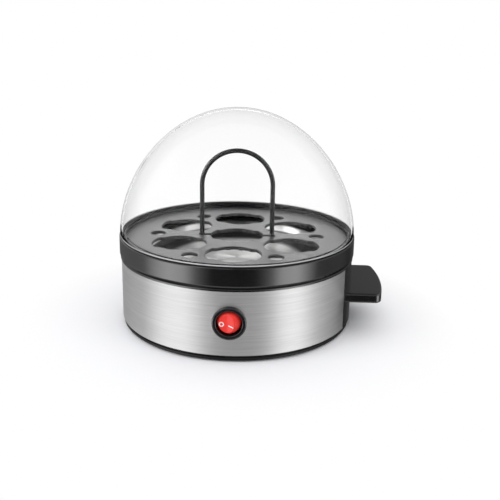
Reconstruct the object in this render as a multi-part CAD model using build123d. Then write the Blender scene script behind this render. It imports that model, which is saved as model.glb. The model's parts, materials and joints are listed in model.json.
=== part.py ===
from build123d import *
import os
from math import asin, cos, degrees, radians, sin, sqrt, tan

# Electric egg cooker, in millimetres. +Z is up, the switch faces -Y and the handle points along +X.
# The origin is on the axis of the body, at the level of the table.

# Cuts run this far past the faces that they open
overrun = 2.0

# Heights of the body's bands, from the table up
foot_proud = 1.2
flange_height = 2.3
base_groove_height = 1.8
band_height = 46.5
bead_height = 1.6
groove_height = 0.6
collar_height = 14.5

# Housing: collar, lip, ledges and drum
collar_diameter = 180.0
collar_lower_round = 1.8
collar_upper_round = 0.7
lip_width = 3.7
bead_step = 0.6
bead_round = 0.5
wall = 2.4
rack_recess = 3.3
rack_ledge_width = 4.0
plate_ledge_width = 5.6
post_radius = 4.5
post_margin = 7.3
post_rib = 2.0
post_count = 4
post_start_angle = 45.0

# Steel band wrapped round the drum
band_step = 1.3
band_sheet = 0.5
band_clearance = 0.15
band_return = 1.9
hem_depth = 1.2

# Handle: curved panel with a tongue
panel_shoulder = 1.6
panel_proud = 0.2
panel_thickness = 1.6
handle_reach = 23.1
handle_half_width = 34.0
handle_thickness = 7.2
handle_drop = 19.6
handle_end_radius = 160.0
handle_corner_radius = 5.0
handle_edge_round = 1.4
handle_wall = 2.4
handle_rib = 1.8
handle_boss_radius = 2.6
handle_boss_length = 14.0
handle_screw_spacing = 36.0
screw_pad_radius = 4.2
screw_pad_height = 1.0

# Dome lid
lid_inset = 0.6
lid_wall = 1.8
lid_height = 95.0
lid_side_share = 0.470
lid_crown_share = 0.571
lid_skirt_depth = 2.6
lid_skirt_wall = 1.5
lid_skirt_clearance = 0.3
lid_shoulder = 1.8

# Egg rack
rack_thickness = 2.4
rack_clearance = 0.4
rack_edge_round = 0.6
rack_rim = 20.0
egg_count = 6
egg_bridge = 12.8
egg_start_angle = 30.0
egg_ear_depth = 2.7
egg_ear_width_share = 0.7
egg_hole_round = 1.2
egg_lug_spacing = 9.4
egg_lug_width = 3.0
egg_lug_reach = 1.2
egg_lug_height = 1.1
rack_hole_chamfer = 0.4
steam_hole_inset = 24.7
steam_hole_radius = 5.95

# Bail of the rack
bail_half_span = 27.0
bail_diameter = 3.6
bail_rise = 67.8
bail_slot_clearance = 0.3
bail_shoulder_radius = 2.6
bail_shoulder_height = 1.4
bail_hook_reach = 2.6
bail_hook_height = 2.0
bail_hook_clearance = 0.1

# Heating plate, its seal and its clamps
plate_margin = 5.0
plate_sheet = 1.2
plate_flange_width = 5.8
plate_slope_width = 7.5
plate_drop = 17.8
plate_depth = 10.2
plate_corner_round = 2.0
plate_pocket_clearance = 0.6
seal_thickness = 1.0
seal_width = 3.6
clamp_count = 3
clamp_start_angle = 30.0
clamp_stud_radius = 2.0
clamp_stud_length = 7.6
clamp_stud_inset = 10.0
clamp_width = 12.0
clamp_sheet = 1.2
clamp_standoff = 0.8
clamp_tail = 6.0
clamp_leg_margin = 2.0
clamp_hole_clearance = 0.2
washer_radius = 4.4
washer_thickness = 0.8
nut_width = 7.0
nut_height = 3.2
nut_clearance = 0.05

# Tubular heating element under the plate
element_tube_radius = 3.3
element_clearance = 0.8
element_gap_angle = 50.0
element_bend_radius = 8.0
element_drop = 6.0
braze_gap = 0.05
pin_bush_radius = 2.4
pin_bush_length = 4.0

# Blades and push-on connectors
blade_width = 6.3
blade_sheet = 0.8
blade_length = 8.0
connector_width = 7.8
connector_thickness = 3.0
connector_length = 9.0
connector_offset = 1.0
connector_clearance = 0.1

# Thermostat, its strap and the thermal fuse
thermostat_cap_radius = 8.4
thermostat_cap_height = 4.0
thermostat_body_radius = 7.3
thermostat_body_height = 7.5
thermostat_tab_drop = 2.0
strap_sheet = 0.8
strap_half_pitch = 12.5
strap_end_radius = 4.6
strap_clearance = 0.3
strap_stud_radius = 1.5
strap_stud_spare = 1.2
strap_nut_width = 5.5
strap_nut_height = 2.4
fuse_radius = 2.2
fuse_length = 16.0
fuse_clearance = 0.4
clip_sheet = 0.8
clip_width = 6.0
clip_clearance = 0.1
clip_ear = 8.0

# Rocker switch
switch_rise = 24.3
bezel_radius = 11.9
bezel_proud = 2.4
bezel_round = 1.1
bezel_sink = 1.4
bezel_gap = 0.1
bezel_mouth_round = 0.5
barrel_radius = 9.8
barrel_clearance = 0.2
barrel_depth = 18.0
rocker_radius = 8.4
rocker_gap = 0.6
rocker_set_in = 0.6
rocker_dish_angle = 11.0
rocker_throw = 30.0
rocker_front = 5.1
rocker_back = 2.2
rocker_crease = 6.0
rocker_edge_round = 0.7
rocker_room = 0.5
pivot_radius = 0.85
pivot_clearance = 0.05
pivot_length = 1.3
snap_width = 6.0
snap_length = 5.0
snap_height = 0.9
snap_gap = 0.3
switch_tab_spacing = 11.0

# Bottom cover, feet and cover screws
flange_inset = 0.9
flange_round = 0.6
cover_groove_inset = 1.8
cover_recess = 2.1
cover_floor = 2.2
cover_ring_width = 4.6
spigot_clearance = 0.2
spigot_height = 4.0
cover_boss_radius = 5.2
cover_boss_height = 3.0
head_radius = 3.3
head_height = 2.4
head_clearance = 0.5
head_depth = 0.6
shank_radius = 1.6
shank_clearance = 0.05
shank_bite = 12.0
pilot_spare = 2.0
vent_count = 12
vent_inset = 24.0
vent_length = 14.0
vent_width = 2.4
foot_radius = 6.5
foot_inset = 15.95
foot_round = 0.8
foot_stem_radius = 2.4
foot_stem_clearance = 0.1
foot_head_radius = 3.4
foot_head_height = 2.2
foot_tip_radius = 1.4

# Cord gland and terminal block
gland_margin = 0.8
gland_bore_radius = 3.5
gland_neck_radius = 5.4
gland_neck_clearance = 0.1
gland_flange_radius = 7.6
gland_nose = 2.4
gland_tail = 2.0
gland_round = 0.8
block_margin = 14.0
block_length = 30.0
block_depth = 15.0
block_height = 12.0
block_pole_spacing = 9.0
block_wire_rise = 5.5
block_round = 1.0
terminal_screw_radius = 2.0
terminal_screw_height = 1.2
terminal_slot_width = 0.4
terminal_screw_pitch = 7.5

# Internal leads
lead_radius = 1.1
lead_bend = 3.0
lead_stub = 7.0
lead_short_stub = 4.0
lead_lane_height = 5.0
lead_end_gap = 0.1

# Levels and radii worked out from the sizes above
ring_low = foot_proud
flange_top = ring_low + flange_height
band_low = flange_top + base_groove_height
band_top = band_low + band_height
bead_top = band_top + bead_height
collar_low = bead_top + groove_height
collar_top = collar_low + collar_height
rack_top = collar_top - rack_recess
rack_low = rack_top - rack_thickness
plate_top = rack_top - plate_drop
plate_low = plate_top - plate_sheet
plate_rim_top = plate_top + plate_depth
plate_ledge = plate_rim_top - plate_sheet - seal_thickness
ledge_under = plate_ledge - wall
floor_low = ring_low + cover_recess
floor_top = floor_low + cover_floor
spigot_top = band_low + spigot_height
drum_low = band_low + band_sheet
handle_top = band_top - handle_drop
handle_low = handle_top - handle_thickness
handle_middle = (handle_top + handle_low) / 2
switch_height = band_low + switch_rise
gland_height = spigot_top + gland_margin + gland_flange_radius
lead_lane = floor_top + lead_lane_height

collar_radius = collar_diameter / 2
lip_radius = collar_radius - lip_width
rack_ledge_radius = lip_radius - rack_ledge_width
rack_radius = lip_radius - rack_clearance
egg_hole_radius = (rack_radius - rack_rim - egg_bridge) / 3
egg_circle_radius = 2 * egg_hole_radius + egg_bridge
egg_ear_radius = egg_hole_radius + egg_ear_depth
egg_ear_half_width = egg_ear_width_share * egg_hole_radius
steam_circle_radius = rack_radius - steam_hole_inset
band_radius = collar_radius - band_step
drum_radius = band_radius - band_sheet - band_clearance
drum_inner = drum_radius - wall
panel_radius = band_radius + panel_proud
panel_inner = panel_radius - panel_thickness
panel_half_angle = degrees(asin((handle_half_width + panel_shoulder) / panel_radius))
recess_radius = panel_inner - band_clearance
plate_radius = rack_ledge_radius - plate_margin
plate_pocket = plate_radius + plate_pocket_clearance
plate_opening = plate_pocket - plate_ledge_width
plate_wall_radius = plate_radius - plate_flange_width
plate_floor_radius = plate_wall_radius - plate_slope_width
clamp_circle = plate_floor_radius - clamp_stud_inset
element_radius = clamp_circle - clamp_tail - element_clearance - element_tube_radius
clip_outer = fuse_radius + clip_clearance + clip_sheet
fuse_offset = strap_half_pitch + strap_end_radius + fuse_clearance + clip_outer
post_circle = drum_inner - post_margin
foot_circle_radius = post_circle - foot_inset
vent_circle_radius = foot_circle_radius - vent_inset
lid_radius = collar_radius - lid_inset
block_y = drum_inner - block_margin - block_depth / 2
band_end_angle = panel_half_angle + degrees(band_clearance / band_radius)
hem_angle = degrees(band_sheet / band_radius)
recess_half_angle = band_end_angle + hem_angle + degrees(band_clearance / band_radius)
post_angles = [post_start_angle + 360 * n / post_count for n in range(post_count)]
clamp_angles = [clamp_start_angle + 360 * n / clamp_count for n in range(clamp_count)]

bottom = (Align.CENTER, Align.CENTER, Align.MIN)
corner = (Align.MIN, Align.MIN, Align.MIN)


def polar(radius, angle):
    return radius * cos(radians(angle)), radius * sin(radians(angle))


def turned(outline, start=0.0, sweep_angle=360.0):
    """A solid of revolution from (radius, height, corner rounding) points."""
    path = FilletPolyline([(r, z) for r, z, _ in outline], radius=[c for *_, c in outline], close=True)
    return Rot(0, 0, start) * revolve(Plane.XZ * make_face(path), Axis.Z, sweep_angle)


def ring(inner, outer, low, high, start=0.0, sweep_angle=360.0):
    return turned([(inner, low, 0), (outer, low, 0), (outer, high, 0), (inner, high, 0)], start, sweep_angle)


def post(radius, low, high, x=0.0, y=0.0):
    return Pos(x, y, low) * Cylinder(radius, high - low, align=bottom)


def rod_x(radius, x_low, x_high, y, z):
    return Pos(x_low, y, z) * Rot(0, 90, 0) * Cylinder(radius, x_high - x_low, align=bottom)


def rod_y(radius, y_low, y_high, z, x=0.0):
    return Pos(x, y_low, z) * Rot(-90, 0, 0) * Cylinder(radius, y_high - y_low, align=bottom)


def block(low, high):
    size = [b - a for a, b in zip(low, high)]
    return Pos(*low) * Box(*size, align=corner)


def hex_nut(width, height, bore, x, y, top):
    flat = RegularPolygon(width / 2, 6, major_radius=False) - Circle(bore)
    return Pos(x, y, top - height) * extrude(flat, height)


def save(name, *solids):
    shape = solids[0] if len(solids) == 1 else Compound(children=list(solids))
    export_step(shape, f"parts/{name}.step")


# Housing: one moulding with the collar, the two ledges and the drum that the band wraps

def make_housing():
    body = turned([
        (drum_inner, drum_low, 0),
        (drum_radius, drum_low, 0),
        (drum_radius, band_top, 0),
        (collar_radius - bead_step, band_top, 0),
        (collar_radius - bead_step, bead_top, bead_round),
        (drum_radius, bead_top, 0),
        (drum_radius, collar_low, 0),
        (collar_radius, collar_low, collar_lower_round),
        (collar_radius, collar_top, collar_upper_round),
        (lip_radius, collar_top, 0),
        (lip_radius, rack_low, 0),
        (rack_ledge_radius, rack_low, collar_upper_round),
        (plate_pocket, plate_rim_top, 0),
        (plate_pocket, plate_ledge, 0),
        (plate_opening, plate_ledge, 0),
        (plate_opening, ledge_under, 0),
        (plate_pocket + wall, ledge_under, 0),
        (rack_ledge_radius + wall, rack_low - wall, 0),
        (drum_inner, rack_low - wall, 0),
    ])
    rib = block((post_circle, -post_rib / 2, spigot_top + spigot_clearance),
                (drum_inner + wall / 2, post_rib / 2, ledge_under + wall / 2))
    for angle in post_angles:
        x, y = polar(post_circle, angle)
        body += post(post_radius, floor_top + cover_boss_height, ledge_under + wall / 2, x, y)
        body += Rot(0, 0, angle) * rib
    recess = ring(recess_radius, drum_radius + overrun, drum_low - overrun, band_top,
                  -recess_half_angle, 2 * recess_half_angle)
    body -= recess
    for y in handle_screw_places():
        seat = handle_screw_seat(y)
        root = sqrt(recess_radius ** 2 - (abs(y) + screw_pad_radius) ** 2)
        body += rod_x(screw_pad_radius, seat, root, y, handle_middle)
        body -= rod_x(shank_radius + shank_clearance, seat - overrun, panel_inner + overrun, y, handle_middle)
    for angle in post_angles:
        x, y = polar(post_circle, angle)
        low = floor_top + cover_boss_height
        body -= post(shank_radius + shank_clearance, low - overrun, low + shank_bite + pilot_spare, x, y)
    body -= switch_hole()
    body -= gland_hole()
    return body


def handle_screw_places():
    return [-handle_screw_spacing / 2, handle_screw_spacing / 2]


def handle_screw_seat(y):
    return sqrt((drum_inner - screw_pad_height) ** 2 - (abs(y) + screw_pad_radius) ** 2)


def switch_hole():
    radius = barrel_radius + barrel_clearance
    return rod_y(radius, -band_radius - overrun, -drum_inner + wall + overrun, switch_height)


def gland_hole():
    radius = gland_neck_radius + gland_neck_clearance
    return rod_y(radius, drum_inner - wall - overrun, band_radius + overrun, gland_height)


# Steel band: rolled sheet with its lower edge turned in and its two ends hemmed

def make_band():
    sheet_inner = band_radius - band_sheet
    outline = [
        (band_radius, band_low, 0),
        (band_radius, band_top, 0),
        (sheet_inner, band_top, 0),
        (sheet_inner, drum_low, 0),
        (sheet_inner - band_return, drum_low, 0),
        (sheet_inner - band_return, band_low, 0),
    ]
    band = turned(outline, band_end_angle, 360 - 2 * band_end_angle)
    for start in (band_end_angle, -band_end_angle - hem_angle):
        band += ring(band_radius - hem_depth, band_radius, drum_low, band_top, start, hem_angle)
    return band - switch_hole() - gland_hole()


# Handle: curved panel, tongue with a hollow underside, ribs and two screw bosses

def tongue_plan(inset):
    tip = panel_radius + handle_reach - inset
    half = handle_half_width - inset
    end_radius = handle_end_radius - inset
    corner_x = tip - end_radius + sqrt(end_radius ** 2 - half ** 2)
    root = sqrt(panel_inner ** 2 - half ** 2)
    outline = Polyline((corner_x, -half), (root, -half), (root, half), (corner_x, half))
    end = ThreePointArc((corner_x, half), (tip, 0), (corner_x, -half))
    plan = make_face([*outline.edges(), end])
    corners = plan.vertices().sort_by(Axis.X)[-2:]
    return fillet(corners, handle_corner_radius - inset)


def make_handle():
    panel = ring(panel_inner, panel_radius, band_low, band_top, -panel_half_angle, 2 * panel_half_angle)
    tongue = Pos(0, 0, handle_low) * extrude(tongue_plan(0), handle_thickness)
    rims = tongue.edges().filter_by(Plane.XY).filter_by(lambda e: e.center().X > panel_radius)
    tongue = fillet(rims, handle_edge_round)
    hollow = Pos(0, 0, handle_low - overrun) * extrude(
        tongue_plan(handle_wall), handle_thickness - handle_wall + overrun)
    rib = block((0, -handle_rib / 2, handle_low), (panel_radius + handle_reach, handle_rib / 2, handle_top))
    ribs = [Pos(0, y, 0) * rib for y in (-handle_half_width / 2, 0, handle_half_width / 2)]
    hollow -= ribs
    hollow -= post(panel_radius, handle_low - overrun, handle_top)
    tongue -= hollow
    for y in handle_screw_places():
        root = sqrt(panel_inner ** 2 - y ** 2)
        tongue += rod_x(handle_boss_radius, root, root + handle_boss_length, y, handle_middle)
    handle = panel + (tongue - post(panel_inner, handle_low - overrun, handle_top + overrun))
    for y in handle_screw_places():
        root = sqrt(panel_inner ** 2 - y ** 2)
        reach = root + handle_boss_length - handle_wall
        handle -= rod_x(shank_radius + shank_clearance, root - overrun, reach, y, handle_middle)
    return handle


def make_handle_screws():
    screws = []
    for y in handle_screw_places():
        seat = handle_screw_seat(y)
        root = sqrt(panel_inner ** 2 - y ** 2)
        tip = root + handle_boss_length - 2 * handle_wall
        head = rod_x(head_radius, seat - head_height, seat, y, handle_middle)
        screws.append(head + rod_x(shank_radius, seat, tip, y, handle_middle))
    return screws


# Dome lid: egg-shaped shell that stands on the lip, with a skirt inside it

def dome_curve(radius, height):
    side = (radius, lid_side_share * height)
    crown = (lid_crown_share * radius, height)
    return Bezier((radius, 0), side, crown, (0, height))


def make_lid():
    inner_radius = lid_radius - lid_wall
    outside = dome_curve(lid_radius, lid_height)
    inside = dome_curve(inner_radius, lid_height - lid_wall)
    shell = make_face([
        outside,
        Line((0, lid_height), (0, lid_height - lid_wall)),
        inside,
        Line((inner_radius, 0), (lid_radius, 0)),
    ])
    lid = Pos(0, 0, collar_top) * revolve(Plane.XZ * shell, Axis.Z)
    skirt_outer = lip_radius - lid_skirt_clearance
    skirt_inner = skirt_outer - lid_skirt_wall
    skirt = turned([
        (skirt_inner, collar_top - lid_skirt_depth, 0),
        (skirt_outer, collar_top - lid_skirt_depth, 0),
        (skirt_outer, collar_top, 0),
        (inner_radius + lid_wall / 2, collar_top, 0),
        (inner_radius + lid_wall / 2, collar_top + lid_shoulder, 0),
        (skirt_inner, collar_top + lid_shoulder, lid_shoulder / 2),
    ])
    return lid + skirt


# Egg rack: flat disc with eared egg holes, lugs in them, steam holes and slots for the bail

def egg_hole_places():
    angles = [egg_start_angle + 360 * n / egg_count for n in range(egg_count)]
    return [(0, 0)] + [polar(egg_circle_radius, angle) for angle in angles]


def egg_hole():
    ears = Circle(egg_ear_radius) & Rectangle(2 * egg_ear_radius, 2 * egg_ear_half_width)
    hole = Circle(egg_hole_radius) + ears
    return fillet(hole.vertices(), egg_hole_round)


def egg_lugs():
    """Four low lugs round an egg hole, two at its front and two at its back."""
    lean = degrees(asin(egg_lug_spacing / 2 / egg_hole_radius))
    half = degrees(asin(egg_lug_width / 2 / egg_hole_radius))
    inner, outer = egg_hole_radius - egg_lug_reach, egg_hole_radius + egg_lug_reach
    starts = [middle + side * lean - half for middle in (90, 270) for side in (-1, 1)]
    return [ring(inner, outer, rack_low, rack_low + egg_lug_height, start, 2 * half) for start in starts]


def make_rack():
    disc = turned([
        (0, rack_low, 0),
        (rack_radius, rack_low, 0),
        (rack_radius, rack_top, rack_edge_round),
        (0, rack_top, 0),
    ])
    slot_width = bail_diameter + 2 * bail_slot_clearance
    slot = SlotOverall(2 * bail_half_span + slot_width, slot_width)
    middle, *others = egg_hole_places()
    openings = [Pos(*middle) * (egg_hole() + slot)]
    openings += [Pos(*place) * egg_hole() for place in others]
    openings += [Pos(*polar(steam_circle_radius, 360 * n / egg_count)) * Circle(steam_hole_radius)
                 for n in range(egg_count)]
    for opening in openings:
        disc -= Pos(0, 0, rack_low - overrun) * extrude(opening, rack_thickness + 2 * overrun)
    top = disc.faces().sort_by(Axis.Z)[-1]
    rack = chamfer([e for wire in top.inner_wires() for e in wire.edges()], rack_hole_chamfer)
    for x, y in egg_hole_places():
        rack += [Pos(x, y, 0) * lug for lug in egg_lugs()]
    return rack


def make_bail():
    radius = bail_diameter / 2
    foot = rack_low - bail_hook_clearance - bail_hook_height
    spring = rack_top + bail_rise - radius - bail_half_span
    left, right = (-bail_half_span, 0, spring), (bail_half_span, 0, spring)
    crown = (0, 0, spring + bail_half_span)
    path = Wire([
        Line((-bail_half_span, 0, foot), left),
        ThreePointArc(left, crown, right),
        Line(right, (bail_half_span, 0, foot)),
    ])
    bail = sweep(Pos(-bail_half_span, 0, foot) * Circle(radius), path)
    for side in (-1, 1):
        x = side * bail_half_span
        shoulder = post(bail_shoulder_radius, rack_top, rack_top + bail_shoulder_height, x)
        bail += fillet(shoulder.edges().sort_by(Axis.Z)[-1], bail_shoulder_height / 2)
        reach = side * (radius + bail_hook_reach)
        low = (min(x, x + reach), -radius, foot)
        high = (max(x, x + reach), radius, foot + bail_hook_height)
        bail += block(low, high)
    return bail


# Heating plate: pressed dish with welded studs, on a flat seal, drawn down by bent clamps

def stud_places():
    return [polar(clamp_circle, angle) for angle in clamp_angles]


def strap_under():
    return plate_low - thermostat_cap_height - strap_sheet


def strap_studs():
    """Place and nut seat of each stud: the back one holds the strap, the front one the strap and the clip."""
    return [(0, strap_half_pitch, strap_under()), (0, -strap_half_pitch, strap_under() - clip_sheet)]


def make_plate():
    plate = turned([
        (0, plate_top, 0),
        (plate_floor_radius, plate_top, plate_corner_round),
        (plate_wall_radius, plate_rim_top, plate_corner_round),
        (plate_radius, plate_rim_top, 0),
        (plate_radius, plate_rim_top - plate_sheet, 0),
        (plate_wall_radius + plate_sheet / 2, plate_rim_top - plate_sheet, plate_corner_round),
        (plate_floor_radius + plate_sheet / 2, plate_low, plate_corner_round),
        (0, plate_low, 0),
    ])
    for x, y in stud_places():
        plate += post(clamp_stud_radius, plate_low - clamp_stud_length, plate_low + plate_sheet / 2, x, y)
    for x, y, seat in strap_studs():
        low = seat - strap_nut_height - strap_stud_spare
        plate += post(strap_stud_radius, low, plate_low + plate_sheet / 2, x, y)
    return plate


def make_seal():
    return ring(plate_radius - seal_width, plate_radius, plate_ledge, plate_ledge + seal_thickness)


def make_clamps():
    bar_top = plate_low - clamp_standoff
    bar_low = bar_top - clamp_sheet
    leg_inner = plate_opening + clamp_leg_margin
    leg_outer = leg_inner + clamp_sheet
    half = clamp_width / 2
    bar = block((clamp_circle - clamp_tail, -half, bar_low), (leg_outer, half, bar_top))
    leg = block((leg_inner, -half, bar_low), (leg_outer, half, ledge_under))
    hole = post(clamp_stud_radius + clamp_hole_clearance, bar_low - overrun, bar_top + overrun, clamp_circle)
    return [Rot(0, 0, angle) * (bar + leg - hole) for angle in clamp_angles]


def washer_top():
    return plate_low - clamp_standoff - clamp_sheet


def make_washer(x, y):
    top = washer_top()
    low = top - washer_thickness
    hole = post(clamp_stud_radius + clamp_hole_clearance, low - overrun, top + overrun, x, y)
    return post(washer_radius, low, top, x, y) - hole


def make_clamp_nuts():
    top = washer_top() - washer_thickness
    bore = clamp_stud_radius + nut_clearance
    return [hex_nut(nut_width, nut_height, bore, x, y, top) for x, y in stud_places()]


def earth_barrel():
    """Centre of the earth tag's barrel, towards the back from its stud."""
    x, y = stud_places()[0]
    return x, y + washer_radius + connector_length / 2, washer_top() - washer_thickness / 2


def make_earth_tag():
    x, y = stud_places()[0]
    bx, by, bz = earth_barrel()
    half = lead_radius + washer_thickness
    top = washer_top()
    neck = block((x - half, y + clamp_stud_radius + washer_thickness, top - washer_thickness),
                 (x + half, by, top))
    barrel_z = top - half
    barrel_end = y + washer_radius + connector_length
    barrel = rod_y(half, y + washer_radius, barrel_end, barrel_z, bx)
    barrel -= rod_y(lead_radius + lead_end_gap, by, barrel_end + overrun, barrel_z, bx)
    return make_washer(x, y) + neck + barrel


# Heating element: tube in an open ring with both ends bent down

def element_ends():
    middle = element_middle()
    ends = []
    for side in (-1, 1):
        angle = 90 + side * element_gap_angle / 2
        x, y = polar(element_radius, angle)
        towards = (side * sin(radians(angle)), -side * cos(radians(angle)))
        ends.append(((x, y, middle), towards))
    return ends


def element_middle():
    return plate_low - braze_gap - element_tube_radius


def element_foot(end, towards):
    x, y, z = end
    drop = element_bend_radius + element_drop
    return x + towards[0] * element_bend_radius, y + towards[1] * element_bend_radius, z - drop


def make_element():
    (right, right_way), (left, left_way) = element_ends()
    mid_share = sqrt(0.5)

    def bend(end, way):
        x, y, z = end
        out = element_bend_radius * mid_share
        down = element_bend_radius * (1 - mid_share)
        middle = (x + way[0] * out, y + way[1] * out, z - down)
        fx, fy, fz = element_foot(end, way)
        return (fx, fy, fz + element_drop), middle, (fx, fy, fz)

    right_turn, right_middle, right_foot = bend(right, right_way)
    left_turn, left_middle, left_foot = bend(left, left_way)
    path = Wire([
        Line(right_foot, right_turn),
        ThreePointArc(right_turn, right_middle, right),
        ThreePointArc(right, (0, -element_radius, element_middle()), left),
        ThreePointArc(left, left_middle, left_turn),
        Line(left_turn, left_foot),
    ])
    return sweep(Pos(*right_foot) * Circle(element_tube_radius), path)


def make_element_pins():
    pins = []
    for end, way in element_ends():
        x, y, z = element_foot(end, way)
        bush = post(pin_bush_radius, z - pin_bush_length, z, x, y)
        blade = block((x - blade_width / 2, y - blade_sheet / 2, z - pin_bush_length - blade_length),
                      (x + blade_width / 2, y + blade_sheet / 2, z - pin_bush_length))
        pins.append(bush + blade)
    return pins


# Thermostat in the middle of the plate, its strap, and the fuse in its clip

def make_thermostat():
    cap_low = plate_low - thermostat_cap_height
    return turned([
        (0, plate_low, 0),
        (thermostat_cap_radius, plate_low, 0),
        (thermostat_cap_radius, cap_low, 0),
        (thermostat_body_radius, cap_low, 0),
        (thermostat_body_radius, cap_low - thermostat_body_height, thermostat_tab_drop / 2),
        (0, cap_low - thermostat_body_height, 0),
    ])


def thermostat_tab_height():
    return plate_low - thermostat_cap_height - thermostat_body_height + thermostat_tab_drop


def make_thermostat_tabs():
    z = thermostat_tab_height()
    tabs = []
    for side in (-1, 1):
        near, far = side * thermostat_body_radius, side * (thermostat_body_radius + blade_length)
        tabs.append(block((min(near, far), -blade_width / 2, z - blade_sheet / 2),
                          (max(near, far), blade_width / 2, z + blade_sheet / 2)))
    round_side = post(thermostat_body_radius, z - blade_sheet, z + blade_sheet)
    return [tab - round_side for tab in tabs]


def make_strap():
    plan = SlotCenterToCenter(2 * strap_half_pitch, 2 * strap_end_radius, rotation=90)
    plan += Circle(thermostat_cap_radius)
    plan -= Circle(thermostat_body_radius + strap_clearance)
    for side in (-1, 1):
        plan -= Pos(0, side * strap_half_pitch) * Circle(strap_stud_radius + clamp_hole_clearance)
    return Pos(0, 0, strap_under()) * extrude(plan, strap_sheet)


def make_strap_nuts():
    return [hex_nut(strap_nut_width, strap_nut_height, strap_stud_radius + nut_clearance, x, y, seat)
            for x, y, seat in strap_studs()]


def fuse_height():
    return plate_low - braze_gap - fuse_radius


def make_fuse():
    return rod_x(fuse_radius, -fuse_length / 2, fuse_length / 2, -fuse_offset, fuse_height())


def make_fuse_clip():
    inner = clip_outer - clip_sheet
    half = clip_width / 2
    z = fuse_height()
    x, y, seat = strap_studs()[1]
    cradle = rod_x(clip_outer, -half, half, -fuse_offset, z)
    cradle += block((-half, -fuse_offset - clip_outer, z), (half, -fuse_offset + clip_outer, plate_low))
    cradle += block((-half, -fuse_offset, seat), (half, y + clip_ear / 2, seat + clip_sheet))
    cradle -= rod_x(inner, -half - overrun, half + overrun, -fuse_offset, z)
    cradle -= block((-half - overrun, -fuse_offset - inner, z),
                    (half + overrun, -fuse_offset + inner, plate_low + overrun))
    return cradle - post(strap_stud_radius + clamp_hole_clearance, seat - overrun, seat + overrun, x, y)


# Rocker switch, mounted sideways: the rocker tips about a vertical axis

def switch_y(out):
    """The y of a point that stands out from the band's front by this much."""
    return -(band_radius + out)


def rocker_pivot_y():
    return switch_y(bezel_proud - rocker_set_in - rocker_front)


def pocket_end_y():
    """The back of the rocker's pocket, clear of the rocker's back edge as it swings."""
    half_throw = radians(rocker_throw / 2)
    edge = sqrt(rocker_radius ** 2 - rocker_back ** 2)
    return rocker_pivot_y() + rocker_back * cos(half_throw) + edge * sin(half_throw) + rocker_room


def make_switch_body():
    front = switch_y(bezel_proud)
    flange = rod_y(bezel_radius, front, switch_y(-bezel_sink), switch_height)
    flange = fillet(flange.edges().filter_by(GeomType.CIRCLE).sort_by(Axis.Y)[0], bezel_round)
    flange -= post(band_radius + bezel_gap, band_low, band_top)
    body = flange + rod_y(barrel_radius, front + bezel_round, switch_y(-barrel_depth), switch_height)
    for side in (-1, 1):
        seat = -sqrt(drum_inner ** 2 - (barrel_radius + snap_height) ** 2) + snap_gap
        edge = side * barrel_radius
        wedge = make_face(Polyline(
            (edge - side * snap_height, seat),
            (edge + side * snap_height, seat),
            (edge, seat + snap_length),
            (edge - side * snap_height, seat + snap_length),
            close=True))
        body += Pos(0, 0, switch_height - snap_width / 2) * extrude(wedge, snap_width)
    pocket = rod_y(rocker_radius + rocker_gap, front - overrun, pocket_end_y(), switch_height)
    body -= pocket
    mouth = body.edges().filter_by(GeomType.CIRCLE).group_by(Axis.Y)[0].sort_by(SortBy.RADIUS)[0]
    body = fillet(mouth, bezel_mouth_round)
    reach = barrel_radius + overrun
    body -= post(pivot_radius + pivot_clearance, switch_height - reach, switch_height + reach,
                 0, rocker_pivot_y())
    return body


def make_rocker():
    """A ball cut to two shallow faces, at rest with its right half out, on two pins."""
    rim = rocker_front + rocker_radius * tan(radians(rocker_dish_angle))
    profile = make_face(Polyline(
        (-rocker_radius, rocker_back),
        (-rocker_radius, -rim),
        (0, -rocker_front),
        (rocker_radius, -rim),
        (rocker_radius, rocker_back),
        close=True))
    crease = profile.vertices().sort_by_distance((0, -rocker_front))[0]
    profile = fillet(crease, rocker_crease)
    paddle = Pos(0, 0, -rocker_radius) * extrude(profile, 2 * rocker_radius)
    paddle &= Sphere(rocker_radius)
    rims = [e for e in paddle.faces().filter_by(GeomType.SPHERE).edges() if e.center().Y < 0]
    paddle = fillet(rims, rocker_edge_round)
    reach = rocker_radius + pivot_length
    rocker = paddle + post(pivot_radius, -reach, reach)
    return Pos(0, rocker_pivot_y(), switch_height) * Rot(0, 0, -rocker_throw / 2) * rocker


def switch_tab_places():
    return [-switch_tab_spacing / 2, switch_tab_spacing / 2]


def make_switch_tabs():
    start = switch_y(-barrel_depth)
    return [block((x - blade_sheet / 2, start, switch_height - blade_width / 2),
                  (x + blade_sheet / 2, start + blade_length, switch_height + blade_width / 2))
            for x in switch_tab_places()]


# Push-on connectors: a sleeve round each blade, along the blade's own direction

def connector(blade_plane):
    """A sleeve on a blade that starts at the plane's origin and runs along its z, wide along its x."""
    sleeve = Box(connector_width, connector_thickness, connector_length, align=bottom)
    sleeve = Pos(0, 0, connector_offset) * sleeve
    slot = Box(blade_width + 2 * connector_clearance, blade_sheet + 2 * connector_clearance,
               2 * (blade_length + connector_clearance))
    return blade_plane * (sleeve - slot)


def connector_planes():
    planes = {}
    for name, x in zip(("switch_left", "switch_right"), switch_tab_places()):
        planes[name] = Plane((x, switch_y(-barrel_depth), switch_height), x_dir=(0, 0, 1), z_dir=(0, 1, 0))
    for name, side in (("thermostat_left", -1), ("thermostat_right", 1)):
        start = (side * thermostat_body_radius, 0, thermostat_tab_height())
        planes[name] = Plane(start, x_dir=(0, 1, 0), z_dir=(side, 0, 0))
    for name, (end, way) in zip(("element_right", "element_left"), element_ends()):
        x, y, z = element_foot(end, way)
        planes[name] = Plane((x, y, z - pin_bush_length), x_dir=(1, 0, 0), z_dir=(0, 0, -1))
    return planes


def make_connectors():
    return [connector(plane) for plane in connector_planes().values()]


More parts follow.
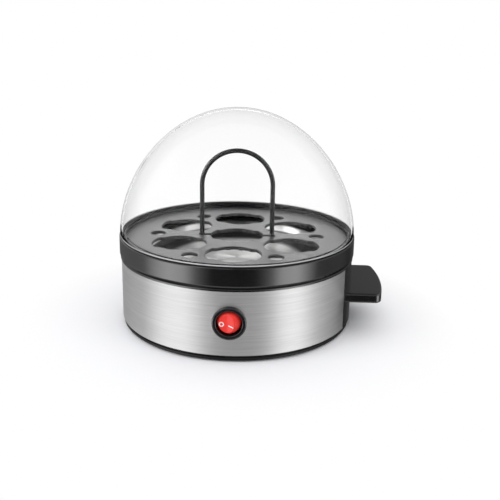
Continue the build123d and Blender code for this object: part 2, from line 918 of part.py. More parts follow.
def connector_end(name):
    """The middle of a connector's far end, and the way that its lead leaves it."""
    plane = connector_planes()[name]
    way = plane.z_dir
    return plane.origin + way * (connector_offset + connector_length + lead_end_gap), way


# Terminal block behind the cord gland

def pole_places():
    return [n * block_pole_spacing for n in (-1, 0, 1)]


def make_terminal_block():
    front, back = block_y - block_depth / 2, block_y + block_depth / 2
    body = block((-block_length / 2, front, floor_top), (block_length / 2, back, floor_top + block_height))
    body = fillet(body.edges().filter_by(Axis.Z), block_round)
    for x in pole_places():
        hole = lead_radius + lead_end_gap
        body -= rod_y(hole, front - overrun, front + block_depth / 3, floor_top + block_wire_rise, x)
        body -= rod_y(hole, back - block_depth / 3, back + overrun, floor_top + block_wire_rise, x)
    return body


def make_terminal_screws():
    top = floor_top + block_height
    screws = []
    for x in pole_places():
        for side in (-1, 1):
            y = block_y + side * terminal_screw_pitch / 2
            head = post(terminal_screw_radius, top, top + terminal_screw_height, x, y)
            half = terminal_slot_width / 2
            slot = block((x - terminal_screw_radius, y - half, top + terminal_screw_height / 2),
                         (x + terminal_screw_radius, y + half, top + terminal_screw_height + overrun))
            screws.append(head - slot)
    return screws


def pole_start(x):
    return Vector(x, block_y - block_depth / 2 - lead_end_gap, floor_top + block_wire_rise)


# Internal leads: round wires in straight runs and arcs

def lead(*points):
    path = FilletPolyline(*points, radius=lead_bend)
    start = Vector(points[0])
    along = Vector(points[1]) - start
    return sweep(Plane(start, z_dir=along) * Circle(lead_radius), path)


def make_leads():
    forward = Vector(0, -1, 0)
    left_pole, middle_pole, right_pole = [pole_start(x) for x in pole_places()]
    switch_left, switch_left_way = connector_end("switch_left")
    switch_right, switch_right_way = connector_end("switch_right")
    thermostat_left, left_way = connector_end("thermostat_left")
    thermostat_right, right_way = connector_end("thermostat_right")
    element_right, down = connector_end("element_right")
    element_left, _ = connector_end("element_left")
    fuse_left = Vector(-fuse_length / 2 - lead_end_gap, -fuse_offset, fuse_height())
    fuse_right = Vector(fuse_length / 2 + lead_end_gap, -fuse_offset, fuse_height())
    stub = lead_stub
    short = lead_short_stub
    low_left = element_left + down * stub
    low_right = element_right + down * stub
    tag_x, tag_y, _ = earth_barrel()
    tag = Vector(tag_x, tag_y + lead_end_gap, washer_top() - lead_radius - washer_thickness)
    tag_out = tag + Vector(0, connector_length / 2 + stub, 0)
    side_x = -(element_radius + element_tube_radius)
    return {
        "live_lead": lead(
            left_pole, left_pole + forward * short, (side_x, element_radius / 2, lead_lane),
            (side_x, -element_radius / 2, lead_lane), switch_left + switch_left_way * stub, switch_left),
        "switched_lead": lead(
            switch_right, switch_right + switch_right_way * stub,
            Vector(fuse_right.X + short, fuse_right.Y, switch_right.Z),
            fuse_right + Vector(short, 0, 0), fuse_right),
        "fuse_lead": lead(
            fuse_left, fuse_left - Vector(short, 0, 0), thermostat_left + left_way * stub, thermostat_left),
        "element_lead": lead(
            thermostat_right, thermostat_right + right_way * stub,
            Vector(low_right.X + 2 * stub, low_right.Y - stub, low_right.Z), low_right, element_right),
        "neutral_lead": lead(middle_pole, middle_pole + forward * short, low_left, element_left),
        "earth_lead": lead(
            right_pole, right_pole + forward * short, Vector(tag_out.X, tag_out.Y, lead_lane), tag_out, tag),
    }


# Bottom cover with its base ring, screw bosses, vents and foot sockets

def foot_places():
    return [polar(foot_circle_radius, angle) for angle in post_angles]


def make_cover():
    spigot_outer = drum_inner - spigot_clearance
    flange_radius = band_radius - flange_inset
    cover = turned([
        (0, floor_low, 0),
        (flange_radius - cover_ring_width, floor_low, 0),
        (flange_radius - cover_ring_width, ring_low, 0),
        (flange_radius, ring_low, flange_round),
        (flange_radius, flange_top, flange_round),
        (band_radius - cover_groove_inset, flange_top, 0),
        (band_radius - cover_groove_inset, band_low, 0),
        (spigot_outer, band_low, 0),
        (spigot_outer, spigot_top, 0),
        (spigot_outer - wall, spigot_top, 0),
        (spigot_outer - wall, floor_top, 0),
        (0, floor_top, 0),
    ])
    for angle in post_angles:
        x, y = polar(post_circle, angle)
        cover += post(cover_boss_radius, floor_low, floor_top + cover_boss_height, x, y)
    for angle in post_angles:
        x, y = polar(post_circle, angle)
        cover -= post(head_radius + head_clearance, floor_low - overrun, screw_seat(), x, y)
        cover -= post(shank_radius + head_clearance, floor_low, floor_top + cover_boss_height + overrun, x, y)
    for x, y in foot_places():
        cover -= post(foot_stem_radius + foot_stem_clearance, floor_low - overrun, floor_top + overrun, x, y)
    vent = extrude(SlotOverall(vent_length, vent_width), cover_floor + 2 * overrun)
    for n in range(vent_count):
        cover -= Rot(0, 0, 360 * n / vent_count) * Pos(vent_circle_radius, 0, floor_low - overrun) * vent
    return cover


def screw_seat():
    return floor_low + head_height + head_depth


def make_cover_screws():
    screws = []
    for angle in post_angles:
        x, y = polar(post_circle, angle)
        head = post(head_radius, screw_seat() - head_height, screw_seat(), x, y)
        tip = floor_top + cover_boss_height + shank_bite
        screws.append(head + post(shank_radius, screw_seat(), tip, x, y))
    return screws


def make_feet():
    foot = turned([
        (0, 0, 0),
        (foot_radius, 0, foot_round),
        (foot_radius, floor_low, 0),
        (foot_stem_radius, floor_low, 0),
        (foot_stem_radius, floor_top, 0),
        (foot_head_radius, floor_top, 0),
        (foot_tip_radius, floor_top + foot_head_height, 0),
        (0, floor_top + foot_head_height, 0),
    ])
    return [Pos(x, y, 0) * foot for x, y in foot_places()]


# Cord gland: flanged bush in the back of the drum

def make_gland():
    tail_y = sqrt(drum_inner ** 2 - gland_flange_radius ** 2)
    nose = rod_y(gland_flange_radius, band_radius - gland_nose, band_radius + gland_nose, gland_height)
    nose = fillet(nose.edges().filter_by(GeomType.CIRCLE).sort_by(Axis.Y)[-1], gland_round)
    nose -= post(band_radius + gland_neck_clearance, band_low, band_top)
    neck = rod_y(gland_neck_radius, tail_y - gland_tail, band_radius + gland_nose / 2, gland_height)
    tail = rod_y(gland_flange_radius, tail_y - gland_tail, tail_y - gland_neck_clearance, gland_height)
    bore_low, bore_high = tail_y - gland_tail - overrun, band_radius + gland_nose + overrun
    return nose + neck + tail - rod_y(gland_bore_radius, bore_low, bore_high, gland_height)


os.makedirs("parts", exist_ok=True)
save("housing", make_housing())
save("steel_band", make_band())
save("handle", make_handle())
save("handle_screws", *make_handle_screws())
save("dome_lid", make_lid())
save("egg_rack", make_rack())
save("rack_bail", make_bail())
save("heating_plate", make_plate())
save("plate_seal", make_seal())
save("plate_clamps", *make_clamps())
save("clamp_washers", *[make_washer(x, y) for x, y in stud_places()[1:]])
save("earth_tag", make_earth_tag())
save("clamp_nuts", *make_clamp_nuts())
save("heating_element", make_element())
save("element_pins", *make_element_pins())
save("thermostat", make_thermostat())
save("thermostat_tabs", *make_thermostat_tabs())
save("thermostat_strap", make_strap())
save("strap_nuts", *make_strap_nuts())
save("thermal_fuse", make_fuse())
save("fuse_clip", make_fuse_clip())
save("switch_body", make_switch_body())
save("switch_rocker", make_rocker())
save("switch_tabs", *make_switch_tabs())
save("push_on_connectors", *make_connectors())
save("terminal_block", make_terminal_block())
save("terminal_screws", *make_terminal_screws())
for lead_name, lead_solid in make_leads().items():
    save(lead_name, lead_solid)
save("bottom_cover", make_cover())
save("cover_screws", *make_cover_screws())
save("rubber_feet", *make_feet())
save("cord_gland", make_gland())
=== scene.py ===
import json
from math import cos, pi, radians, sin, tau

import bmesh
import bpy
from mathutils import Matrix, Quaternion, Vector


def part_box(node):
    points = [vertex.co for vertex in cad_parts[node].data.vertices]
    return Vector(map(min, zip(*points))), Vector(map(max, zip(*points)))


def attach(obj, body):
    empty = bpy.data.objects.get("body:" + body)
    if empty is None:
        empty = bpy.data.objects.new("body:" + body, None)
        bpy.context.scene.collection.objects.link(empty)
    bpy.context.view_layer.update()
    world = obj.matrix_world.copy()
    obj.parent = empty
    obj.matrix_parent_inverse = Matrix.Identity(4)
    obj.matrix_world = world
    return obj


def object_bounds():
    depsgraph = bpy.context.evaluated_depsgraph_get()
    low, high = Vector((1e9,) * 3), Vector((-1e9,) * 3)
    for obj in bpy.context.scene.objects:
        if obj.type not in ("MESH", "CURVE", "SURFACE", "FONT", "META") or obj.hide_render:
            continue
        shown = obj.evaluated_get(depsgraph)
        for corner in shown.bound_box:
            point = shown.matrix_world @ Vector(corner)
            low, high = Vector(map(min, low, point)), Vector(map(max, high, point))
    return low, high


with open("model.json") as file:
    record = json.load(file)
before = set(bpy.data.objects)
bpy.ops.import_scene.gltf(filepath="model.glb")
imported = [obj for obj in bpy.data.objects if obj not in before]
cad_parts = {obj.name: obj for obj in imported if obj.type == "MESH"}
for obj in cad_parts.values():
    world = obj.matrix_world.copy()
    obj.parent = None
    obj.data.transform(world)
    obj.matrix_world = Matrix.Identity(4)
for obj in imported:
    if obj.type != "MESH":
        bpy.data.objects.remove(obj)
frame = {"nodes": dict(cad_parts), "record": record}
cad_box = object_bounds()

# Electric egg cooker, dressed in metres in the frame of its solids: +Z up, switch at -Y, handle at +X.

# Camera, placed round the axis of the body
view_centre_height = 0.0712
view_distance = 0.57448
view_elevation = radians(15.912)
view_azimuth = radians(2.984)
aim_yaw = radians(2.935)
aim_pitch = radians(-14.621)
camera_roll = radians(0.632)
camera_shift_shares = (0.0244, -0.0789)
lens_length_mm = 53.453
sensor_width_mm = 36.0

# Studio: floor, soft light and lamps, which stand round the body at angles from the handle's side
white = (1, 1, 1, 1)
floor_half = 3.0
floor_steps = 8
floor_colour = (0.80, 0.80, 0.82, 1)
floor_lift = 0.06
floor_fade_start = 0.09
floor_fade_end = 0.17
ambient_colour = (0.93, 0.95, 1.0, 1)
ambient_strength = 0.28
lamp_height = 0.95
lamp_reach = 1.25
lamp_size = 0.6
left_lamp_watts = 7.0
right_lamp_watts = 2.5
front_lamp_watts = 6.0
left_lamp_angle = radians(208)
right_lamp_angle = radians(330)
front_lamp_angle = radians(264)
top_lamp_watts = 18.5
top_lamp_height = 1.5
top_lamp_size = 2.2

# What glossy surfaces mirror: levels round the body, in degrees from the front, just below the horizon
full_turn_degrees = 360
mirror_strength = 4.0
band_levels = ((-180, 0.03), (-150, 0.04), (-120, 0.09), (-95, 0.16), (-80, 0.6), (-65, 1.0),
               (-48, 0.9), (-36, 0.24), (-24, 0.04), (-20, 0.006), (20, 0.006), (24, 0.04), (36, 0.24),
               (46, 0.9), (62, 1.0), (74, 0.45), (85, 0.08), (120, 0.05), (140, 0.015), (180, 0.04))
band_shares = ((-1.0, 0.0), (-0.54, 0.0), (-0.42, 1.0), (-0.14, 1.0), (-0.04, 0.0), (1.0, 0.0))

# And above and below that band: levels by the sine of the elevation, times shares round the body
sky_levels = ((-1.0, 0.14), (-0.66, 0.16), (-0.50, 0.34), (0.05, 0.34), (0.70, 0.50), (0.85, 0.20),
              (1.0, 0.15))
sky_change = 0.15
low_shares = ((-180, 0.10), (-160, 0.75), (-107, 0.58), (-90, 0.30), (-60, 0.15), (-46, 1.0), (-36, 1.6),
              (-26, 1.05), (26, 1.05), (36, 0.95), (56, 0.36), (80, 0.90), (94, 0.80), (110, 0.48),
              (140, 0.25), (180, 0.10))
high_shares = ((-180, 0.10), (-160, 0.75), (-107, 0.58), (-90, 0.55), (-70, 0.55), (-60, 0.35), (-46, 1.0),
               (-36, 1.4), (-26, 0.30), (30, 0.25), (45, 0.60), (60, 0.55), (80, 0.90), (94, 0.80),
               (110, 0.48), (140, 0.25), (180, 0.10))

# What the plate, the rack and the bail mirror through the lid: white behind, brighter at the sides, dark in
# front, and dimmer below the horizon and overhead
inner_strength = 2.1
inner_levels = ((-180, 1.0), (-140, 1.0), (-110, 2.0), (-60, 2.0), (-30, 1.0), (-22, 0.02), (22, 0.02),
                (30, 1.0), (60, 1.2), (110, 1.2), (140, 1.0), (180, 1.0))
inner_shares = ((-1.0, 0.42), (0.02, 0.42), (0.1, 1.1), (0.56, 1.2), (0.75, 0.3), (1.0, 0.15))

# Textures: the middle range of a noise, the octaves and roughness of cloudy, fine and streaky ones, and where
# the new stops of a ramp start
texture_low = 0.3
texture_high = 0.7
cloud_detail = 3.0
cloud_roughness = 0.55
fine_detail = 2.0
streak_detail = 4.0
streak_roughness = 0.6
ramp_start_share = 0.5

# Moulded pieces: scales per metre, the depth of the grain, and for each finish the darker and the lighter
# colour and the range of roughness
mould_drift_scale = 90
mould_grain_scale = 2600
mould_grain_depth = 0.000012
mould_specular = 0.5
moulded_finishes = {
    "black_plastic": ((0.004, 0.004, 0.0045), (0.006, 0.006, 0.0065), (0.14, 0.20)),
    "rack_plastic": ((0.060, 0.060, 0.061), (0.072, 0.072, 0.073), (0.40, 0.48)),
    "bail_plastic": ((0.010, 0.010, 0.011), (0.015, 0.015, 0.016), (0.30, 0.40)),
    "cover_plastic": ((0.005, 0.005, 0.0055), (0.008, 0.008, 0.0085), (0.32, 0.42)),
    "silicone": ((0.52, 0.52, 0.50), (0.62, 0.62, 0.60), (0.5, 0.65)),
    "ceramic_white": ((0.70, 0.68, 0.62), (0.80, 0.78, 0.73), (0.5, 0.7)),
    "sleeve_white": ((0.74, 0.73, 0.68), (0.88, 0.87, 0.83), (0.6, 0.8)),
    "bezel_black": ((0.008, 0.008, 0.009), (0.012, 0.012, 0.013), (0.06, 0.10)),
    "rocker_red": ((0.82, 0.036, 0.028), (0.88, 0.054, 0.042), (0.20, 0.28)),
    "block_white": ((0.78, 0.77, 0.72), (0.86, 0.85, 0.81), (0.4, 0.55)),
    "black_rubber": ((0.014, 0.014, 0.014), (0.024, 0.024, 0.024), (0.6, 0.75)),
    "lead_brown": ((0.17, 0.075, 0.034), (0.23, 0.10, 0.046), (0.4, 0.5)),
    "lead_blue": ((0.04, 0.14, 0.40), (0.06, 0.18, 0.48), (0.4, 0.5)),
    "lead_green": ((0.21, 0.40, 0.05), (0.29, 0.50, 0.07), (0.4, 0.5)),
    "lead_white": ((0.76, 0.74, 0.70), (0.86, 0.84, 0.80), (0.4, 0.5)),
    "mark_white": ((0.84, 0.74, 0.73), (0.92, 0.82, 0.81), (0.35, 0.45)),
}
moulded_settings = {
    "black_plastic": {"specular": 0.8},
    "cover_plastic": {"specular": 0.2},
    "sleeve_white": {"grain_scale": 1400, "grain_depth": 0.00008},
    "bezel_black": {"grain_depth": 0.000002, "coat": 0.5},
    "rocker_red": {"grain_depth": 0.000004, "specular": 0.25},
}

# Plated pieces: the scale of the tarnish, pits that are finer than it, and finishes as above
tarnish_scale = 350
pits_to_tarnish = 9
pit_depth = 0.000008
plated_finishes = {
    "plated_steel": ((0.52, 0.52, 0.50), (0.66, 0.66, 0.64), (0.25, 0.4)),
    "element_metal": ((0.34, 0.33, 0.31), (0.47, 0.46, 0.44), (0.4, 0.55)),
    "brass": ((0.66, 0.48, 0.20), (0.78, 0.60, 0.30), (0.22, 0.36)),
}
plated_settings = {"element_metal": {"drift_scale": 220}}

# Brushed steel: the gloss lies across the brushing, and the band has fine streaks with broader ones mixed in
quarter_turn_share = 0.25
steel_colours = ((0.54, 0.54, 0.54), (0.70, 0.70, 0.70))
steel_roughness = (0.42, 0.54)
steel_stretch = (0.012, 0.012, 1)
steel_streak_scale = 5200
steel_streak_depth = 0.000006
steel_anisotropy = 0.85
broad_to_fine = 7
broad_share = 0.5
streak_low = 0.5
streak_high = 1.0

# Heating plate: fine rings, and painted reflections as tints from its middle to its edge: painted shade over
# the ring that heats it and on its rim, with a painted highlight ring between
plate_colours = ((0.86, 0.86, 0.85), (0.98, 0.98, 0.97))
plate_roughness = (0.34, 0.44)
plate_ring_scale = 3800
plate_ring_depth = 0.000005
plate_anisotropy = 0.9
painted_reflection_tints = ((0.0, 0.68), (0.44, 0.68), (0.52, 1.0), (0.62, 1.0), (0.68, 0.30), (0.71, 0.10), (0.868, 0.10),
              (0.878, 1.0), (0.905, 1.0), (0.92, 0.1), (1.0, 0.1))

# Lid: faint smears, a foot with painted shade where it sits on the lip and a painted highlight above it on
# the outside, and tints from face on to edge on
smear_scale = 35
smear_roughness = 0.03
smear_low = 0.35
smear_high = 0.75
lid_index = 1.01
lid_coat = 0.1
lid_depth_colour = (0.50, 0.51, 0.53, 1)
lid_depth_density = 6.0
foot_height = 0.0019
foot_overrun = 0.0001
foot_skin = 0.0009
foot_painted_shade_share = ((0.0, 0.0), (0.02, 0.9), (0.52, 0.9), (0.58, 0.0), (1.0, 0.0))
foot_painted_highlight_share = ((0.0, 0.0), (0.54, 0.0), (0.60, 0.5), (0.92, 0.5), (1.0, 0.0))
foot_painted_shade_tints = ((0.0, 1.0), (0.02, 0.02), (0.52, 0.02), (0.58, 1.0), (1.0, 1.0))
edge_tints = ((0.0, 1.0), (0.45, 1.0), (0.60, 0.95), (0.76, 0.90), (1.0, 0.80))

# The bail is blacker than its rack, and the bottom cover duller than the housing
own_finishes = {"rack_bail": "bail_plastic", "bottom_cover": "cover_plastic"}

# Marks of the rocker
mark_proud = 0.00012
mark_sink = 0.0002
ring_mark_radius = 0.00175
ring_mark_width = 0.0007
ring_mark_across = -0.0051
ring_mark_drop = 0.0006
bar_mark_length = 0.0036
bar_mark_width = 0.00075
bar_mark_across = 0.0013
bar_mark_drop = 0.0017
bar_mark_slant = radians(-15)
mark_segments = 40
half_step = 0.5


# Camera

def make_camera():
    data = bpy.data.cameras.new("photo_camera")
    data.lens = lens_length_mm
    data.sensor_width = sensor_width_mm
    camera = bpy.data.objects.new("photo_camera", data)
    bpy.context.scene.collection.objects.link(camera)
    ground = view_distance * cos(view_elevation)
    camera.location = (ground * sin(view_azimuth), -ground * cos(view_azimuth),
                       view_centre_height + view_distance * sin(view_elevation))
    ahead = Vector((-sin(aim_yaw) * cos(aim_pitch), cos(aim_yaw) * cos(aim_pitch), sin(aim_pitch)))
    camera.rotation_mode = "QUATERNION"
    camera.rotation_quaternion = ahead.to_track_quat("-Z", "Y") @ Quaternion((0, 0, 1), camera_roll)
    data.shift_x, data.shift_y = camera_shift_shares
    bpy.context.scene.camera = camera


# Node helpers

class Nodes:
    """Short forms for the nodes of one tree."""

    def __init__(self, tree):
        self.tree = tree

    def add(self, kind, **settings):
        node = self.tree.nodes.new(kind)
        for name, value in settings.items():
            setattr(node, name, value)
        return node

    def link(self, source, target):
        self.tree.links.new(source, target)

    def set(self, socket, value):
        """Links an output, or sets a plain value."""
        if isinstance(value, bpy.types.NodeSocket):
            self.link(value, socket)
        else:
            socket.default_value = value

    def math(self, operation, *values):
        node = self.add("ShaderNodeMath", operation=operation)
        for socket, value in zip(node.inputs, values):
            self.set(socket, value)
        return node.outputs[0]

    def place(self, scale=(1, 1, 1)):
        """Object coordinates, in metres, times a scale on each axis."""
        coordinates = self.add("ShaderNodeTexCoord")
        mapping = self.add("ShaderNodeMapping")
        mapping.inputs["Scale"].default_value = scale
        self.link(coordinates.outputs["Object"], mapping.inputs["Vector"])
        return mapping.outputs["Vector"]

    def parts(self, vector):
        """The x, y and z of a vector."""
        split = self.add("ShaderNodeSeparateXYZ")
        self.link(vector, split.inputs[0])
        return split.outputs

    def radius(self):
        """The distance from the axis of the body."""
        x, y, _ = self.parts(self.place())
        return self.math("SQRT", self.math("ADD", self.math("MULTIPLY", x, x), self.math("MULTIPLY", y, y)))

    def noise(self, vector, scale, detail=cloud_detail, roughness=cloud_roughness):
        node = self.add("ShaderNodeTexNoise")
        self.link(vector, node.inputs["Vector"])
        node.inputs["Scale"].default_value = scale
        node.inputs["Detail"].default_value = detail
        node.inputs["Roughness"].default_value = roughness
        return node.outputs["Fac"]

    def spread(self, value, low, high, start=texture_low, end=texture_high):
        """Maps the range from start to end, a texture's middle range if not given, to low and high."""
        node = self.add("ShaderNodeMapRange")
        self.link(value, node.inputs["Value"])
        for name, number in zip(("From Min", "From Max", "To Min", "To Max"), (start, end, low, high)):
            node.inputs[name].default_value = number
        return node.outputs["Result"]

    def colours(self, share, low, high):
        node = self.add("ShaderNodeMix", data_type="RGBA")
        self.link(share, node.inputs["Factor"])
        node.inputs["A"].default_value = (*low, 1)
        node.inputs["B"].default_value = (*high, 1)
        return node.outputs["Result"]

    def tinted(self, colour, tint):
        """One colour times another."""
        node = self.add("ShaderNodeMix", data_type="RGBA", blend_type="MULTIPLY")
        node.inputs["Factor"].default_value = 1.0
        self.link(colour, node.inputs["A"])
        self.link(tint, node.inputs["B"])
        return node.outputs["Result"]

    def between(self, share, first, second):
        """Goes from one level to another by a share."""
        node = self.add("ShaderNodeMix", data_type="FLOAT")
        self.link(share, node.inputs["Factor"])
        self.link(first, node.inputs["A"])
        self.link(second, node.inputs["B"])
        return node.outputs["Result"]

    def ramp(self, value, stops):
        node = self.add("ShaderNodeValToRGB")
        elements = node.color_ramp.elements
        while len(elements) < len(stops):
            elements.new(ramp_start_share)
        for element, (place, grey) in zip(elements, stops):
            element.position = place
            element.color = (grey, grey, grey, 1)
        self.link(value, node.inputs["Fac"])
        return node.outputs["Color"]

    def bump(self, height, distance):
        node = self.add("ShaderNodeBump")
        node.inputs["Strength"].default_value = 1.0
        node.inputs["Distance"].default_value = distance
        self.link(height, node.inputs["Height"])
        return node.outputs["Normal"]

    def light(self, kind, colour, strength):
        """A background or an emission."""
        node = self.add(kind)
        self.set(node.inputs["Color"], colour)
        self.set(node.inputs["Strength"], strength)
        return node.outputs[0]

    def mixed(self, share, first, second):
        """Goes from one shader to another by a share."""
        node = self.add("ShaderNodeMixShader")
        for socket, value in zip(node.inputs, (share, first, second)):
            self.link(value, socket)
        return node.outputs[0]


def new_material(name):
    material = bpy.data.materials.new(name)
    material.use_nodes = True
    nodes = Nodes(material.node_tree)
    return material, nodes, material.node_tree.nodes["Principled BSDF"].inputs


def surface(nodes, shader, colour, fine, rough, depth):
    """A base colour, with roughness and bump from one fine texture."""
    nodes.link(colour, shader["Base Color"])
    nodes.link(nodes.spread(fine, *rough), shader["Roughness"])
    nodes.link(nodes.bump(fine, depth), shader["Normal"])


# Plastics, rubber and sleeves: a base colour that drifts a little, satin roughness and a moulded grain

def moulded(name, dark, light, rough, grain_scale=mould_grain_scale, grain_depth=mould_grain_depth,
            specular=mould_specular, coat=0.0):
    material, nodes, shader = new_material(name)
    place = nodes.place()
    cloud = nodes.noise(place, mould_drift_scale)
    grain = nodes.noise(place, grain_scale, fine_detail)
    surface(nodes, shader, nodes.colours(nodes.spread(cloud, 0, 1), dark, light), grain, rough, grain_depth)
    shader["Specular IOR Level"].default_value = specular
    shader["Coat Weight"].default_value = coat
    return material


# Small metal pieces: faint cloudy tarnish and fine pits

def plated(name, dark, light, rough, drift_scale=tarnish_scale):
    material, nodes, shader = new_material(name)
    place = nodes.place()
    cloud = nodes.noise(place, drift_scale)
    pits = nodes.noise(place, pits_to_tarnish * drift_scale, fine_detail)
    surface(nodes, shader, nodes.colours(nodes.spread(cloud, 0, 1), dark, light), pits, rough, pit_depth)
    shader["Metallic"].default_value = 1.0
    return material


# Brushed metals: rougher across the brushing, which runs round the axis of the body, than along it

def brush_round(nodes, shader, anisotropy):
    tangent = nodes.add("ShaderNodeTangent", direction_type="RADIAL", axis="Z")
    nodes.link(tangent.outputs["Tangent"], shader["Tangent"])
    shader["Metallic"].default_value = 1.0
    shader["Anisotropic"].default_value = anisotropy
    shader["Anisotropic Rotation"].default_value = quarter_turn_share


def band_steel(name):
    """Fine and broad streaks round the band."""
    material, nodes, shader = new_material(name)
    place = nodes.place(steel_stretch)
    streaks = nodes.noise(place, steel_streak_scale, streak_detail, streak_roughness)
    broad = nodes.noise(place, steel_streak_scale / broad_to_fine, fine_detail)
    both = nodes.math("MULTIPLY_ADD", broad, broad_share, streaks)
    colour = nodes.colours(nodes.spread(both, 0, 1, streak_low, streak_high), *steel_colours)
    surface(nodes, shader, colour, streaks, steel_roughness, steel_streak_depth)
    brush_round(nodes, shader, steel_anisotropy)
    return material


def plate_steel(name):
    """Turned finish: fine rings round the body's axis, and painted reflections in rings of shade and
    highlight.
    """
    material, nodes, shader = new_material(name)
    radius = nodes.radius()
    noise = nodes.add("ShaderNodeTexNoise", noise_dimensions="1D")
    nodes.link(radius, noise.inputs["W"])
    noise.inputs["Scale"].default_value = plate_ring_scale
    noise.inputs["Detail"].default_value = streak_detail
    rings = noise.outputs["Fac"]
    outwards = nodes.math("DIVIDE", radius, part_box("heating_plate")[1].x)
    colour = nodes.colours(nodes.spread(rings, 0, 1), *plate_colours)
    # Painted reflection: the base colour is darkened and lightened in rings from the middle to the edge
    colour = nodes.tinted(colour, nodes.ramp(outwards, painted_reflection_tints))
    surface(nodes, shader, colour, rings, plate_roughness, plate_ring_depth)
    brush_round(nodes, shader, plate_anisotropy)
    return material


# Clear lid: polished plastic that takes a little light on a long way through

def clear(name):
    material, nodes, shader = new_material(name)
    place = nodes.place()
    smears = nodes.noise(place, smear_scale)
    nodes.link(nodes.spread(smears, 0, smear_roughness, smear_low, smear_high), shader["Roughness"])
    _, _, height = nodes.parts(place)
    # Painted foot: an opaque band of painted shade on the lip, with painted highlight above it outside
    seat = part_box("housing")[1].z
    up_foot = nodes.spread(height, 0, 1, seat - foot_overrun, seat + foot_height)
    outer_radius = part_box("dome_lid")[1].x
    outside = nodes.spread(nodes.radius(), 0, 1, outer_radius - foot_skin, outer_radius - foot_skin / 2)
    # pale is the painted highlight, and cover adds the painted shade to it
    pale = nodes.math("MULTIPLY", nodes.ramp(up_foot, foot_painted_highlight_share), outside)
    cover = nodes.math("ADD", nodes.ramp(up_foot, foot_painted_shade_share), pale)
    nodes.link(nodes.math("SUBTRACT", 1.0, cover), shader["Transmission Weight"])
    edge = nodes.add("ShaderNodeLayerWeight")
    # Painted shade: the foot's base colour is darkened where it sits on the lip
    tint = nodes.tinted(nodes.ramp(edge.outputs["Facing"], edge_tints), nodes.ramp(up_foot, foot_painted_shade_tints))
    nodes.link(tint, shader["Base Color"])
    shader["IOR"].default_value = lid_index
    shader["Coat Weight"].default_value = lid_coat
    absorb = nodes.add("ShaderNodeVolumeAbsorption")
    absorb.inputs["Color"].default_value = lid_depth_colour
    absorb.inputs["Density"].default_value = lid_depth_density
    nodes.link(absorb.outputs["Volume"], material.node_tree.nodes["Material Output"].inputs["Volume"])
    return material


def make_materials():
    made = {
        "clear_plastic": clear("clear_plastic"),
        "brushed_steel": band_steel("brushed_steel"),
        "plate_steel": plate_steel("plate_steel"),
    }
    for name, finish in moulded_finishes.items():
        made[name] = moulded(name, *finish, **moulded_settings.get(name, {}))
    for name, finish in plated_finishes.items():
        made[name] = plated(name, *finish, **plated_settings.get(name, {}))
    return made


materials = make_materials()


def dress_nodes():
    """Each solid gets the material of its slot, or its own finish."""
    for subpart in frame["record"]["subparts"]:
        piece = frame["nodes"][subpart["node"]]
        name = own_finishes.get(subpart["node"], subpart["material_slot"])
        piece.data.materials.clear()
        piece.data.materials.append(materials[name])


# Marks of the rocker: a plain ring and a plain bar, printed on its two faces

def new_piece(name, mesh, material):
    data = bpy.data.meshes.new(name)
    mesh.to_mesh(data)
    mesh.free()
    data.materials.append(material)
    piece = bpy.data.objects.new(name, data)
    bpy.context.scene.collection.objects.link(piece)
    return piece


def rocker_surface(x, z):
    """The front of the rocker at this place, found by a ray from the front."""
    rocker = frame["nodes"]["switch_rocker"]
    start = Vector((x, cad_box[0].y, z))
    _, point, *_ = rocker.ray_cast(start, Vector((0, 1, 0)))
    return point.y


def printed(name, first, second, closed):
    """A thin print between two rows of (x, z) points, which meet at the ends where it is closed."""
    mesh = bmesh.new()
    front, back = [], []
    for row in (first, second):
        places = [(x, rocker_surface(x, z), z) for x, z in row]
        front.append([mesh.verts.new((x, y - mark_proud, z)) for x, y, z in places])
        back.append([mesh.verts.new((x, y + mark_sink, z)) for x, y, z in places])
    count = len(first)
    for n in range(count if closed else count - 1):
        m = (n + 1) % count
        mesh.faces.new((front[0][n], front[0][m], front[1][m], front[1][n]))
        mesh.faces.new((back[0][m], back[0][n], back[1][n], back[1][m]))
        mesh.faces.new((front[0][m], front[0][n], back[0][n], back[0][m]))
        mesh.faces.new((front[1][n], front[1][m], back[1][m], back[1][n]))
    if not closed:
        for n in (0, -1):
            mesh.faces.new((front[0][n], front[1][n], back[1][n], back[0][n]))
    bmesh.ops.recalc_face_normals(mesh, faces=mesh.faces)
    piece = new_piece(name, mesh, materials["mark_white"])
    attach(piece, "rocker")


def circle(radius, x, z):
    turns = [tau * n / mark_segments for n in range(mark_segments)]
    return [(x + radius * cos(t), z + radius * sin(t)) for t in turns]


def bar_edge(side, x, z):
    """One long edge of a round-ended bar, with half of each end."""
    turns = [pi * (n + half_step) / mark_segments for n in range(mark_segments)]
    straight = (bar_mark_length - bar_mark_width) / 2
    points = []
    for t in turns:
        along = bar_mark_width / 2 * cos(t) + (straight if t < pi / 2 else -straight)
        up = side * bar_mark_width / 2 * sin(t)
        points.append((x + along * cos(bar_mark_slant) - up * sin(bar_mark_slant),
                       z + along * sin(bar_mark_slant) + up * cos(bar_mark_slant)))
    return points


def make_marks():
    low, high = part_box("switch_rocker")
    height = (low.z + high.z) / 2
    ring_height = height - ring_mark_drop
    printed("off_mark", circle(ring_mark_radius, ring_mark_across, ring_height),
            circle(ring_mark_radius - ring_mark_width, ring_mark_across, ring_height), closed=True)
    bar_height = height - bar_mark_drop
    printed("on_mark", bar_edge(1, bar_mark_across, bar_height), bar_edge(-1, bar_mark_across, bar_height),
            closed=False)


# Studio

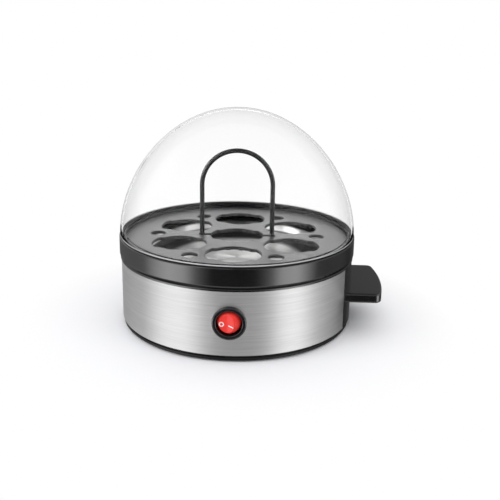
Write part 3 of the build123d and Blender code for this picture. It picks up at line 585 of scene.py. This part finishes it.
def make_floor():
    """A pale floor that keeps the shadow and turns to the white of the background away from the object."""
    mesh = bmesh.new()
    bmesh.ops.create_grid(mesh, x_segments=floor_steps, y_segments=floor_steps, size=floor_half)
    material, nodes, _ = new_material("studio_floor")
    tree = material.node_tree
    tree.nodes.remove(tree.nodes["Principled BSDF"])
    diffuse = nodes.add("ShaderNodeBsdfDiffuse")
    diffuse.inputs["Color"].default_value = floor_colour
    path = nodes.add("ShaderNodeLightPath")
    seen = nodes.math("MAXIMUM", path.outputs["Is Camera Ray"], path.outputs["Is Transmission Ray"])
    near = nodes.add("ShaderNodeAddShader")
    nodes.link(diffuse.outputs[0], near.inputs[0])
    lift = nodes.light("ShaderNodeEmission", white, nodes.math("MULTIPLY", seen, floor_lift))
    nodes.link(lift, near.inputs[1])
    far = nodes.light("ShaderNodeEmission", white, 1.0)
    far_share = nodes.spread(nodes.radius(), 0, 1, floor_fade_start, floor_fade_end)
    whole = nodes.mixed(nodes.math("MULTIPLY", far_share, seen), near.outputs[0], far)
    nodes.link(whole, tree.nodes["Material Output"].inputs["Surface"])
    floor = new_piece("studio_floor", mesh, material)
    floor.visible_glossy = False


def round_stops(levels):
    """Stops from 0 to 1 for levels at angles from the front."""
    return [(angle / full_turn_degrees + 1 / 2, level) for angle, level in levels]


def height_stops(levels):
    """Stops from 0 to 1 for levels at sines of the elevation."""
    return [(sine / 2 + 1 / 2, level) for sine, level in levels]


def make_world():
    """White where it is seen, an even soft light, and soft boxes with a dark front where it is mirrored."""
    world = bpy.data.worlds.new("studio")
    bpy.context.scene.world = world
    world.use_nodes = True
    world.node_tree.nodes.clear()
    nodes = Nodes(world.node_tree)
    path = nodes.add("ShaderNodeLightPath").outputs
    x, y, z = nodes.parts(nodes.add("ShaderNodeTexCoord").outputs["Generated"])
    turn = nodes.spread(nodes.math("ARCTAN2", x, nodes.math("MULTIPLY", y, -1.0)), 0, 1, -pi, pi)
    height = nodes.spread(z, 0, 1, -1, 1)
    band, low_share, high_share, inner = [nodes.ramp(turn, round_stops(levels)) for levels in
                                          (band_levels, low_shares, high_shares, inner_levels)]
    band_share, sky, inner_share = [nodes.ramp(height, height_stops(levels)) for levels in
                                    (band_shares, sky_levels, inner_shares)]
    sky_share = nodes.between(nodes.spread(z, 0, 1, 0, sky_change), low_share, high_share)
    mirrored = nodes.between(band_share, nodes.math("MULTIPLY", sky, sky_share), band)
    within = nodes.math("MULTIPLY", inner, inner_share)
    through = path["Is Transmission Ray"]
    mirrored_through = nodes.math("MULTIPLY", through, nodes.math("MINIMUM", path["Glossy Depth"], 1.0))
    shader = nodes.light("ShaderNodeBackground", ambient_colour, ambient_strength)
    for share, colour, strength in (
            (path["Is Glossy Ray"], mirrored, mirror_strength),
            (nodes.math("MAXIMUM", path["Is Camera Ray"], through), white, 1.0),
            (mirrored_through, within, inner_strength)):
        shader = nodes.mixed(share, shader, nodes.light("ShaderNodeBackground", colour, strength))
    output = nodes.add("ShaderNodeOutputWorld")
    nodes.link(shader, output.inputs["Surface"])


def make_lamp(name, place, size, watts):
    data = bpy.data.lights.new(name, "AREA")
    data.size = size
    data.energy = watts
    lamp = bpy.data.objects.new(name, data)
    bpy.context.scene.collection.objects.link(lamp)
    lamp.location = place
    lamp.rotation_mode = "QUATERNION"
    lamp.rotation_quaternion = (Vector((0, 0, view_centre_height)) - place).to_track_quat("-Z", "Y")
    lamp.visible_camera = False
    lamp.visible_glossy = False
    lamp.visible_transmission = False


def make_lamps():
    for name, angle, watts in (("left_lamp", left_lamp_angle, left_lamp_watts),
                               ("front_lamp", front_lamp_angle, front_lamp_watts),
                               ("right_lamp", right_lamp_angle, right_lamp_watts)):
        place = Vector((lamp_reach * cos(angle), lamp_reach * sin(angle), lamp_height))
        make_lamp(name, place, lamp_size, watts)
    make_lamp("top_lamp", Vector((0, 0, top_lamp_height)), top_lamp_size, top_lamp_watts)


make_camera()
dress_nodes()
make_marks()
make_floor()
make_world()
make_lamps()
bpy.context.scene.view_settings.view_transform = "Standard"
